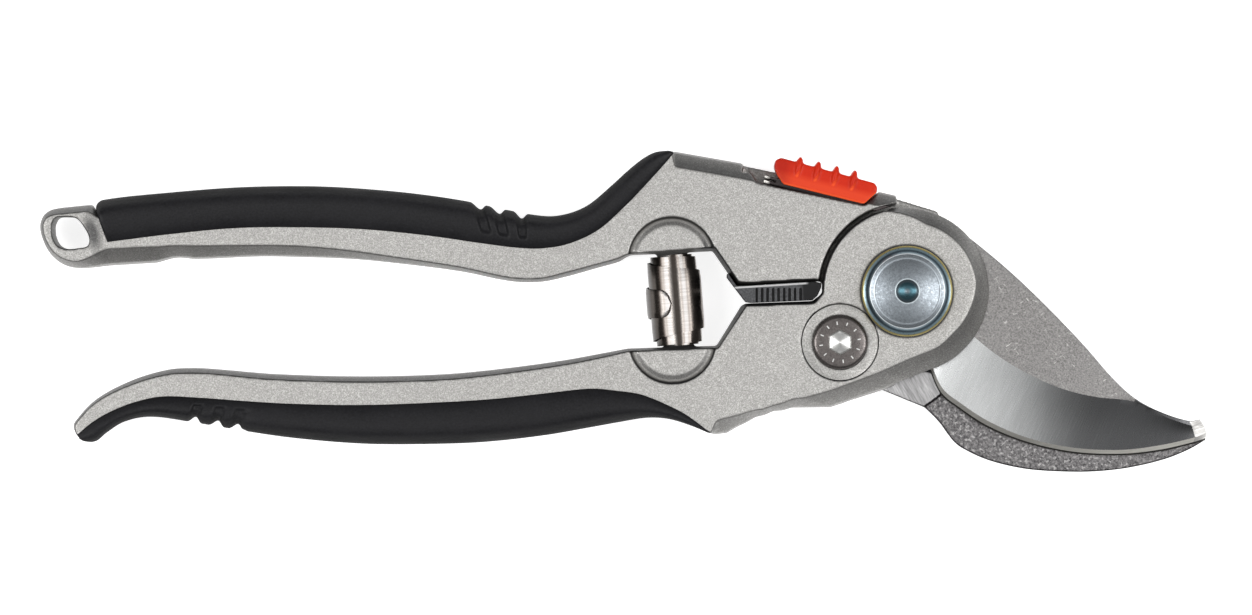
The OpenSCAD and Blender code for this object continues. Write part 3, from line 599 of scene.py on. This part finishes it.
UPPER_EDGE = [
    (-154.3, 16.4), (-152.8, 17.4), (-140, 18.8), (-126.7, 19.8), (-114, 20), (-104.6, 19.6),
    (-93.6, 18.6), (-84, 17.2), (-76, 15.5), (-68.5, 14.3), (-64.3, 14.8), (-60.4, 16.5),
    (-56.2, 20), (-52.8, 23.1), (-50, 25.3), (-47.6, 26.5), (-44.6, 26.8)]
UPPER_LINE = [
    (-151.7, 9.3), (-149.5, 9.6), (-139, 10.9), (-126.7, 12), (-114, 12.1), (-102.5, 11.7),
    (-90.5, 10.5), (-81.5, 9.2), (-74.5, 8.3), (-69.5, 8.1), (-64.2, 9), (-58.6, 11.6),
    (-53.4, 16.2), (-50.2, 19.5), (-47.9, 22), (-46, 24.1), (-44.3, 26.1)]
LOWER_EDGE = [
    (-37.2, -27.15), (-41.2, -25.5), (-45.3, -24.3), (-49.4, -24.1), (-54.5, -24.9), (-59.5, -25.8),
    (-68.7, -27.4), (-80.4, -28.7), (-92, -29.1), (-103.7, -29), (-116.8, -27.9), (-126.5, -26.5),
    (-136, -24.9), (-143.9, -23.9), (-149, -24.9), (-152.4, -27), (-154.4, -28.6), (-156.7, -28.6)]
LOWER_LINE = [
    (-37.4, -26.8), (-41.8, -23.5), (-46.1, -21.3), (-50.5, -19.6), (-55, -18.9), (-60, -18.5),
    (-68.7, -19.4), (-79, -20.5), (-91, -21.2), (-103.7, -21.6), (-116, -21.4), (-125, -20.9),
    (-134.5, -20.2), (-141.5, -20), (-147, -21.2), (-151.4, -23), (-154.6, -24.9), (-157.4, -27.2)]
# Share of the width from the metal's line to the outer edge, height above the metal's face
SECTION = [
    (0, 0.2), (0.05, 0.6), (0.18, 1.1), (0.38, 1.42), (0.57, 1.5), (0.74, 1.2), (0.87, 0.1), (0.96, -2.2),
    (1, -5)]
# Share of the width at which the sleeve's inner wall stands, from its outer edge
INNER_WALL = 0.34
# Depth of a finger groove in the outer edge and on the face, and rounding of the grip's ends
GROOVE_DEPTH, FACE_DEPTH, END_ROUND = 1.1, 0.75, 0.7


def ease(value, low, high):
    """0 below low, 1 above high and smooth between."""
    t = min(1.0, max(0.0, (value - low) / (high - low)))
    return t * t * (3 - 2 * t)


def groove_at(u, grooves, half):
    """1 in the middle of a finger groove, falling to 0 at half a groove's length from it."""
    return max((1 + math.cos(math.pi * (u - c) / half)) / 2 if abs(u - c) < half else 0 for c in grooves)


def grip(name, edge, line, steps, grooves, half):
    """SECTION swept at the given steps along the outer edge and the line where the rubber meets metal."""
    edge, line = [np.array(p, float) for p in edge], [np.array(p, float) for p in line]
    section = [np.array(p, float) for p in SECTION]
    fine = [at(section, k / 4) for k in range(4 * (len(section) - 1) + 1)]
    rings = []
    travel = [0.0]
    for a, b in zip(steps, steps[1:]):
        travel.append(travel[-1] + np.linalg.norm(at(edge, b) - at(edge, a)))
    for u, s in zip(steps, travel):
        o, b = at(edge, u), at(line, u)
        width = np.linalg.norm(b - o)
        out = (o - b) / width
        end = min(s, travel[-1] - s)
        near = max(0.0, 1 - end / END_ROUND)
        tuck = END_ROUND * (1 - math.sqrt(1 - near * near))
        groove = groove_at(u, grooves, half)
        side = []
        for q in fine:
            cut = GROOVE_DEPTH * groove * max(0.0, (q[0] - 0.3) / 0.7) ** 0.8
            p = b + out * (max(q[0], 0.0) * width - cut - tuck * q[0])
            z = q[1] - 0.95 * cut
            if q[1] > 0:
                # On the face a groove is a flat-bottomed valley that ends near the metal's line
                dent = FACE_DEPTH * ease(groove, 0.12, 0.5) * ease(q[0], 0.24, 0.36)
                z = max(0.05, q[1] * min(1.0, width / 5) - tuck * 0.8) - max(0.95 * cut, dent)
            side.append((p[0], p[1], z))
        k = o + INNER_WALL * (b - o)
        ring = [(k[0], k[1], Z_FRONT), (b[0], b[1], Z_FRONT)]
        ring += [(x, y, Z_FRONT + z) for x, y, z in side]
        ring += [(x, y, Z_BACK - z) for x, y, z in reversed(side)]
        ring += [(b[0], b[1], Z_BACK), (k[0], k[1], Z_BACK)]
        rings.append(ring)
    n = len(rings[0])
    verts = [v for r in rings for v in r]
    return mesh_object(name, verts, sweep_faces(n, len(rings) - 1))


def sweep_faces(n, count):
    """Faces of count + 1 rings of n points: the first end, the last end, then ring by ring."""
    faces = [tuple(range(n)), tuple(range(count * n, (count + 1) * n))]
    for i in range(count):
        for j in range(n):
            k = (j + 1) % n
            faces.append((i * n + j, i * n + k, (i + 1) * n + k, (i + 1) * n + j))
    return faces


def grip_steps(stations, first, last):
    """Fine steps: close together at both ends and between the first and last groove."""
    out = [0, 0.02, 0.05, 0.09, 0.15]
    for start, stop, gap in ((0.25, first, 0.125), (first, last, 0.035), (last, stations - 0.2, 0.125)):
        out += list(np.arange(start, stop, gap))
    return out + [stations - d for d in (0.15, 0.09, 0.05, 0.02, 0)]


# ---- The blade: four lines along it, as in the CAD, with a hollow grind between two of them ----

SPINE = [
    (8.5, 12.7, 11.65), (13.1, 9.3, 11.65), (20, 3.5, 11.65), (26.9, -3.1, 11.65), (33.7, -10.2, 11.65),
    (39.5, -16.8, 11.45), (43.7, -20.5, 11.15), (48.5, -23, 10.55), (53.9, -24.7, 9.95), (56.0, -24.4, 9.05)]
GROUND = [
    (7, -3, 11.65), (13.4, -9.1, 11.65), (18.2, -12.8, 11.65), (22.6, -15.4, 11.65), (29.2, -18.4, 11.65),
    (36, -20.1, 11.45), (43.3, -21, 11.1), (48.6, -23.6, 10.5), (54.4, -25.6, 9.9), (56.8, -25.7, 9.0)]
LAND = [
    (4.6, -13.2, 9.65), (6.9, -18.4, 9.65), (10.4, -21.3, 9.65), (16, -24.9, 9.65), (23.5, -28, 9.65),
    (32, -29.8, 9.65), (41, -30.2, 9.65), (48.5, -29.3, 9.55), (55.1, -27.8, 9.45), (57.3, -27, 8.95)]
EDGE = [
    (4.1, -13.8, 8.95), (6.6, -19.5, 8.95), (9.9, -22.3, 8.95), (15.6, -26, 8.95), (23.2, -29, 8.95),
    (31.8, -30.85, 8.95), (41, -31.25, 8.95), (48.5, -30.5, 8.95), (54.6, -29.1, 8.9), (57, -28.4, 8.85)]


# Places along each stretch of the four lines, and across the ground bevel
PER_STATION, ACROSS = 14, 10
# The blade's material slots; the last is a painted shadow line along the cutting edge
BLASTED, GROUND_BEVEL, HONED, TIP, EDGE_SHADOW = range(5)


def annulus(verts, faces, centre, inner, outer, low, high):
    """Adds a flat ring between two radii and two heights to verts and faces."""
    segments = 96
    first = len(verts)
    for r, z in ((inner, low), (outer, low), (outer, high), (inner, high)):
        for k in range(segments):
            g = 2 * math.pi * k / segments
            verts.append((centre[0] + r * math.cos(g), centre[1] + r * math.sin(g), z))
    for i in range(4):
        a, b = first + i * segments, first + (i + 1) % 4 * segments
        for k in range(segments):
            j = (k + 1) % segments
            faces.append((a + k, a + j, b + j, b + k))


def curved_blade(name):
    """The blade from its four lines, with the two rings of its tang behind the boss."""
    lines = [[np.array(p, float) for p in line] for line in (SPINE, GROUND, LAND, EDGE)]
    verts = []
    count = PER_STATION * (len(SPINE) - 1)
    for k in range(count + 1):
        s, g, m, e = (at(line, k / PER_STATION) for line in lines)
        hollow = 0.10 * min(1.0, (count - k) / 20)
        dips = [hollow * math.sin(math.pi * t / ACROSS) for t in range(ACROSS + 1)]
        grind = [m + (g - m) * t / ACROSS - (0, 0, dip) for t, dip in enumerate(dips)]
        low = [(p[0], p[1], Z_BLADE) for p in (g, m, e)]
        # The spine's edge is rounded, and less so towards the tip
        out = unit_xy(s - g)
        size = min(1.0, 0.15 + (count - k) / 50)
        rim = [s - 0.25 * size * out, s - size * (0.09 * out + (0, 0, 0.04)), s - (0, 0, 0.2 * size)]
        verts += [tuple(p) for p in (*low, e, e + 0.3 * (m - e), *grind, *rim, (s[0], s[1], Z_BLADE))]
    n = len(verts) // (count + 1)
    faces = sweep_faces(n, count)
    annulus(verts, faces, (0, 0), 6.02, 14.6, Z_BLADE, Z_PLATE)
    annulus(verts, faces, BLADE_SCREW, 3.05, 6.0, Z_BLADE, Z_PLATE)
    ob = mesh_object(name, verts, faces)
    ob.data.set_sharp_from_angle(angle=math.radians(7))
    # By its place across the blade a face is the painted shadow line along the edge, the honed bevel, the
    # ground bevel or the rest
    strip = {3: EDGE_SHADOW, 4: HONED, **{j: GROUND_BEVEL for j in range(5, 5 + ACROSS)}}
    for p in ob.data.polygons[2:2 + count * n]:
        i, j = divmod(p.index - 2, n)
        ground_rim = i >= 6 * PER_STATION and 4 + ACROSS < j < 8 + ACROSS
        p.material_index = strip.get(j, GROUND_BEVEL if ground_rim else BLASTED)
        if i >= count - PER_STATION and 3 < j < 6 + ACROSS:
            p.material_index = TIP
    return ob


def unit_xy(v):
    """Direction of v, seen from the front."""
    return np.array((v[0], v[1], 0.0)) / math.hypot(v[0], v[1])


# ---- The spring: a strip whose two edges draw together, rolled up from its wide end ----

# Turns of the strip, steps in each, places across it, its thickness, outer radius and pitch
TURNS, PER_TURN, ROWS = 3, 88, 9
STRIP, SPRING_RADIUS, PITCH = 0.42, 5.7, 0.66
# Length over which the strip's outer end is rounded, and rounding of its long edges
STRIP_END, STRIP_EDGE = 2.6, 0.09


def strip_size(turn, arc, length):
    """Half the strip's width and the shift of its middle, at an angle and a distance from its outer end."""
    heights = [
        (0, 2.6), (80, 2.8), (260, 5.4), (350, 6.3), (440, 7.5), (620, 8.1), (800, 8.5),
        (1080, length / 2 - 0.3)]
    shifts = [(0, -0.6), (80, -0.25), (260, -0.1), (1080, 0.0)]
    height = float(np.interp(turn, *zip(*heights)))
    if arc < STRIP_END:
        height = height * math.sqrt(max(0.0, 1 - (1 - arc / STRIP_END) ** 2)) + 0.02
    return height, float(np.interp(turn, *zip(*shifts)))


def volute(name, top, bottom):
    """top and bottom are the middles of the two seats, in millimetres."""
    top, bottom = np.array((*top, Z_MID)), np.array((*bottom, Z_MID))
    length = np.linalg.norm(top - bottom)
    axis = (top - bottom) / length
    middle = (top + bottom) / 2
    front = np.array((0.0, 0.0, 1.0))
    left = np.cross(front, axis)
    count = TURNS * PER_TURN
    verts = []
    for k in range(count + 1):
        turn = 360.0 * k / PER_TURN
        r = SPRING_RADIUS - PITCH * turn / 360
        height, shift = strip_size(turn, r * math.radians(turn), length)
        g = math.radians(10 + turn)
        way = front * math.cos(g) + left * math.sin(g)
        for inset, inward in ((0.0, STRIP_EDGE), (STRIP, -STRIP_EDGE)):
            for j in range(ROWS):
                v = -1 + 2 * j / (ROWS - 1)
                round_off = inward if abs(v) == 1 else 0.0
                verts.append(middle + way * (r - inset - round_off) + axis * (shift + v * height))
    ob = mesh_object(name, [tuple(v) for v in verts], strip_faces(count))
    m = ob.modifiers.new("Edges", "EDGE_SPLIT")
    m.split_angle = math.radians(40)
    return ob


def strip_faces(count):
    """Both sides, both long edges and both ends of a strip of count steps, ROWS places across a side."""
    faces = []
    step = 2 * ROWS
    for a in range(0, count * step, step):
        b = a + step
        for j in range(ROWS - 1):
            faces.append((a + j, b + j, b + j + 1, a + j + 1))
            faces.append((a + ROWS + j + 1, b + ROWS + j + 1, b + ROWS + j, a + ROWS + j))
        faces.append((a + ROWS - 1, b + ROWS - 1, b + 2 * ROWS - 1, a + 2 * ROWS - 1))
        faces.append((a, a + ROWS, b + ROWS, b))
    for a in (0, count * step):
        for j in range(ROWS - 1):
            faces.append((a + j, a + j + 1, a + ROWS + j + 1, a + ROWS + j))
    return faces


# ---- Finishes ----

coat = powder_coat().material
grip_rubber = rubber("grip_rubber", 0.0065).material
buffer_rubber = buffer_block().material
forged = hook_forged().material
blasted = blasted_steel().material
# Painted reflection along the ground bevel, bright at the heel and darker towards the tip
bevel_painted_light = [
    (0, 0.92), (60, 0.09), (11, 0.88), (17, 0.76), (21, 0.62), (25, 0.42), (29, 0.25), (34, 0.14),
    (42, 0.09)]
bevel_steel = ground_steel(
    "bevel_steel", (0.50, 0.507, 0.507), (0.60, 0.61, 0.61), 66, 0.27, 5200.0, bevel_painted_light).material
tip_steel = ground_steel("tip_steel", (0.34, 0.335, 0.325), (0.60, 0.59, 0.575), 20, 0.5, 4200.0).material
# Painted reflection along the honed bevel, lighter towards the tip
micro_painted_light = [(0, 0.5), (60, 1.0), (14, 0.55), (30, 0.72), (44, 1.0)]
micro_steel = ground_steel(
    "micro_steel", (0.60, 0.585, 0.54), (0.86, 0.84, 0.78), 8, 0.4, 4200.0, micro_painted_light).material
# A painted shadow line along the blade's cutting edge
edge_shadow_steel = plain_steel("edge_shadow_steel", (0.05, 0.048, 0.045), 0.5).material
neck = ground_steel("neck_steel", (0.18, 0.178, 0.18), (0.50, 0.495, 0.495), -61, 0.34, 2600.0)
# Painted shadow: the neck is bright in a round patch and darkened beyond it, towards the blade's heel
neck.shade_beyond((3.5, -18.4), 2.85, (2.0, 3.4))
neck_steel = neck.material
# Rings on the bolt's head: teal and gold tints of the zinc, painted highlights at 7.08, 6.3 and 2.3 mm,
# painted shade at 7.62 mm and in the dimple
zinc_tints_and_light = [
    (7.9, 0.9, (0.26, 0.36, 0.41)), (7.62, 0.38, (0.05, 0.07, 0.085)), (7.08, 0.13, (0.48, 0.52, 0.54)),
    (6.3, 0.12, (0.29, 0.32, 0.345)), (8.5, 0.34, (0.42, 0.35, 0.14)), (1.1, 1.2, (0.045, 0.095, 0.115)),
    (2.3, 0.14, (0.40, 0.45, 0.47))]
zinc = turned_metal("blue_zinc", (0.222, 0.246, 0.267), (0, 0, 0), 0.3, zinc_tints_and_light).material
dark_steel = turned_metal("dark_stainless", (0.125, 0.113, 0.109), (*BLADE_SCREW, 0), 0.25).material
socket_steel = plain_steel("socket_steel", (0.66, 0.66, 0.645), 0.36).material
nickel = spring_strip().material
bright_steel = plain_steel("bright_steel", (0.55, 0.53, 0.50), 0.26).material
grey_steel = plain_steel("grey_steel", (0.30, 0.30, 0.30), 0.36).material
bronze = plain_steel("bronze", (0.42, 0.26, 0.10), 0.36).material
red = red_plastic().material

# ---- Pieces ----

# The knife edge over the slider's channel is opened, so that rounding leaves it neat
upper = copy_of("upper_handle", "upper_handle_forging", 0)
upper = soften(cut_away(upper, (-7.85, -0.6, 6.45), (-5.5, 5.0, 13.55)), 0.28, 4)
finish_piece(upper, "upper", coat, ["upper_handle"])
lower = soften(copy_of("lower_handle", "lower_handle_forging", 0), 0.28, 4)
finish_piece(lower, "lower", coat, ["lower_handle"])

# Finger grooves are placed by the stations of the grips' curves
upper_grooves, lower_grooves = (7.33, 7.79, 8.36), (11.1, 11.5, 11.95)
upper_grip = grip("upper_grip_rubber", UPPER_EDGE, UPPER_LINE, grip_steps(16, 7, 9), upper_grooves, 0.2)
finish_piece(upper_grip, "upper", grip_rubber, ["upper_grip"])
lower_grip = grip("lower_grip_rubber", LOWER_EDGE, LOWER_LINE, grip_steps(17, 11, 13), lower_grooves, 0.16)
finish_piece(lower_grip, "lower", grip_rubber, ["lower_grip"])

hook = soften(copy_of("counter_blade", "hook_jaw", 0), 0.2, 4)
finish_piece(hook, "upper", None, ["counter_blade"])
hook.data.materials.append(forged)
hook.data.materials.append(neck_steel)
# The machined face that the blade slides on is bare
for p in hook.data.polygons:
    p.material_index = int(p.normal.z > 0.9 and p.center.z > (Z_SLIDE - 0.1) * MM)

blade = curved_blade("curved_blade")
finish_piece(blade, "lower", None, ["cutting_blade"])
for m in (blasted, bevel_steel, micro_steel, tip_steel, edge_shadow_steel):
    blade.data.materials.append(m)

# Dimple, rings and rim of the head, the shank and its rear end
head = [
    (0.02, 17.5), (1.0, 17.58), (1.75, 17.9), (2.05, 18.18), (2.2, 18.33), (2.35, 18.35), (2.55, 18.3),
    (5.9, 18.3), (6.0, 18.25), (6.25, 18.25), (6.35, 18.3), (6.85, 18.32), (7.0, 18.4), (7.12, 18.4),
    (7.25, 18.25), (7.4, 18.0), (8.1, 17.35), (8.35, 17.25), (8.5, 17.12), (8.6, 16.95), (8.6, 16.15),
    (8.5, 15.97), (8.3, 15.9), (5.0, 15.9),
    (5.0, 5.05), (4.0, 5.0), (4.0, 0.35), (3.7, 0.0), (1.2, 0.0), (0.9, 0.45), (0.02, 0.8)]
bolt = edge_round(turned("pivot_bolt_turned", (0, 0), head, 128), 0.05, 28)
finish_piece(bolt, "upper", zinc, ["pivot_bolt"])

# Floor, walls and brim of the socket, the head and the shank
socket = [
    (0.02, 15.1), (0.9, 15.32), (1.6, 15.62), (hexagon(3.75), 15.72), (hexagon(3.85), 16.5),
    (hexagon(4.15), 16.72), (2.75, 16.76), (4.5, 16.74), (4.8, 16.66), (5.05, 16.45), (5.18, 16.15),
    (5.2, 15.9), (5.2, 15.1), (3.0, 15.1), (3.0, 8.75), (0.02, 8.75)]
screw = edge_round(turned("blade_screw_turned", BLADE_SCREW, socket, 96), 0.04)
finish_piece(screw, "lower", dark_steel, ["blade_screw"])
screw.data.materials.append(socket_steel)
for p in screw.data.polygons:
    away = math.hypot(p.center.x / MM - BLADE_SCREW[0], p.center.y / MM - BLADE_SCREW[1])
    p.material_index = int(away < 2.3 and p.center.z > 15.0 * MM)


def screw_marks():
    """A ring of twelve plain raised marks round the screw's head."""
    corners = ((0.42, 0.13), (-0.42, 0.13), (-0.42, -0.13), (0.42, -0.13))
    sides = ((0, 3, 2, 1), (4, 5, 6, 7), (0, 1, 5, 4), (1, 2, 6, 5), (2, 3, 7, 6), (3, 0, 4, 7))
    verts, faces = [], []
    for g in range(9, 360, 30):
        c, s = math.cos(math.radians(g)), math.sin(math.radians(g))
        start = len(verts)
        for size, z in ((1.0, 16.6), (0.75, 16.83)):
            for outward, along in corners:
                r, t = 3.65 + size * outward, size * along
                verts.append((BLADE_SCREW[0] + r * c - t * s, BLADE_SCREW[1] + r * s + t * c, z))
        faces += [tuple(start + i for i in side) for side in sides]
    return mesh_object("blade_screw_marks", verts, faces, False)


finish_piece(screw_marks(), "lower", socket_steel, ())

ring = edge_round(copy_of("blade_screw_washer", "screw_seat_ring"), 0.05)
finish_piece(ring, "lower", coat, ["blade_screw_washer"])


def ribbed_button():
    """The CAD's button with four ribs, each ending in a drop on the front face."""
    button = soften(copy_of("lock_button", "lock_button_moulded", 0), 0.22, 12)
    bm = bmesh.new()
    bm.from_mesh(button.data)
    for x in (2.5, 6.05, 9.6, 13.15):
        for middle, size in (((x, 3.95, 15.15), (0.62, 2.0, 0.72)), ((x, 4.9, 10.5), (0.55, 1.15, 5.0))):
            first = len(bm.verts)
            bmesh.ops.create_icosphere(bm, subdivisions=3, radius=1.0)
            bm.verts.ensure_lookup_table()
            for v in bm.verts[first:]:
                v.co = on_lock([m + w * c for m, w, c in zip(middle, size, v.co)])
    bm.to_mesh(button.data)
    bm.free()
    return soften(button, 0.15, 3)


finish_piece(ribbed_button(), "lock", red, ["lock_button"])
slider = edge_round(copy_of("lock_slider", "lock_slider_pressed"), 0.1)
finish_piece(slider, "lock", slider_steel().material, ["lock_slider"])
buffer = soften(copy_of("stop_buffer", "stop_buffer_moulded", 0), 0.14, 2)
finish_piece(buffer, "upper", buffer_rubber, ["stop_buffer"])

spring = volute("volute_spring_strip", SPRING_TOP, SPRING_FOOT)
spring.data.materials.append(nickel)
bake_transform(spring)
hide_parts("volute_spring")

# Hidden pieces keep the CAD's shapes
for node, material in (
        ("counter_blade_rivets", grey_steel), ("pivot_washer", bright_steel), ("pivot_nut", zinc),
        ("nut_lock_plate", bright_steel), ("nut_lock_screw", zinc), ("lock_guide_screw", bright_steel),
        ("lock_detent_ball", bright_steel), ("lock_detent_spring", bright_steel), ("pivot_bush", bronze)):
    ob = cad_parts[node]
    ob.data.materials.clear()
    ob.data.materials.append(material)

# ---- Floor, light and camera ----

# The camera looks straight down at this place, in millimetres, from so many metres away
AIM, CAMERA_AWAY = (-53.3, -3.1, 13.0), 1.652

floor_mesh = bpy.data.meshes.new("floor")
floor_mesh.from_pydata([(-3, -3, 0), (3, -3, 0), (3, 3, 0), (-3, 3, 0)], [], [(0, 1, 2, 3)])
floor = new_object("floor", floor_mesh)
floor.location.z = -0.0004
paper = Finish("pale_paper", (0.6, 0.6, 0.6), rough=0.9)
paper.shader.inputs["Emission Color"].default_value = (1, 1, 1, 1)
paper.shader.inputs["Emission Strength"].default_value = 0.78
floor_mesh.materials.append(paper.material)

scene = bpy.context.scene
world = bpy.data.worlds.new("studio")
world.use_nodes = True
world.node_tree.nodes["Background"].inputs[0].default_value = (1, 1, 1, 1)
world.node_tree.nodes["Background"].inputs[1].default_value = 0.36
scene.world = world


def panel(name, place, aim, size, watts):
    """A soft rectangular light at place, turned to aim and hidden from the camera. Metres."""
    light = bpy.data.lights.new(name, "AREA")
    light.shape = "RECTANGLE"
    light.size, light.size_y = size
    light.energy = watts
    ob = bpy.data.objects.new(name, light)
    scene.collection.objects.link(ob)
    ob.location = place
    turn = (Vector(aim) - Vector(place)).to_track_quat("-Z", "Y")
    ob.rotation_euler = turn.to_euler()
    ob.visible_camera = False
    return ob


panel("overhead", (-0.07, -0.05, 1.0), (-0.07, -0.05, 0.0), (1.1, 0.8), 2.6)
panel("left_softbox", (-0.78, -0.04, 0.80), (-0.08, 0.0, 0.0), (0.42, 0.9), 7.2)
panel("right_softbox", (0.66, -0.04, 0.80), (-0.03, 0.0, 0.0), (0.42, 0.9), 7.2)

camera = bpy.data.cameras.new("camera")
camera.lens = 250.0
camera.sensor_width = 36.0
camera.clip_start = 0.01
camera_ob = bpy.data.objects.new("camera", camera)
scene.collection.objects.link(camera_ob)
camera_ob.location = (AIM[0] * MM, AIM[1] * MM, AIM[2] * MM + CAMERA_AWAY)
scene.camera = camera_ob
scene.view_settings.view_transform = "Standard"
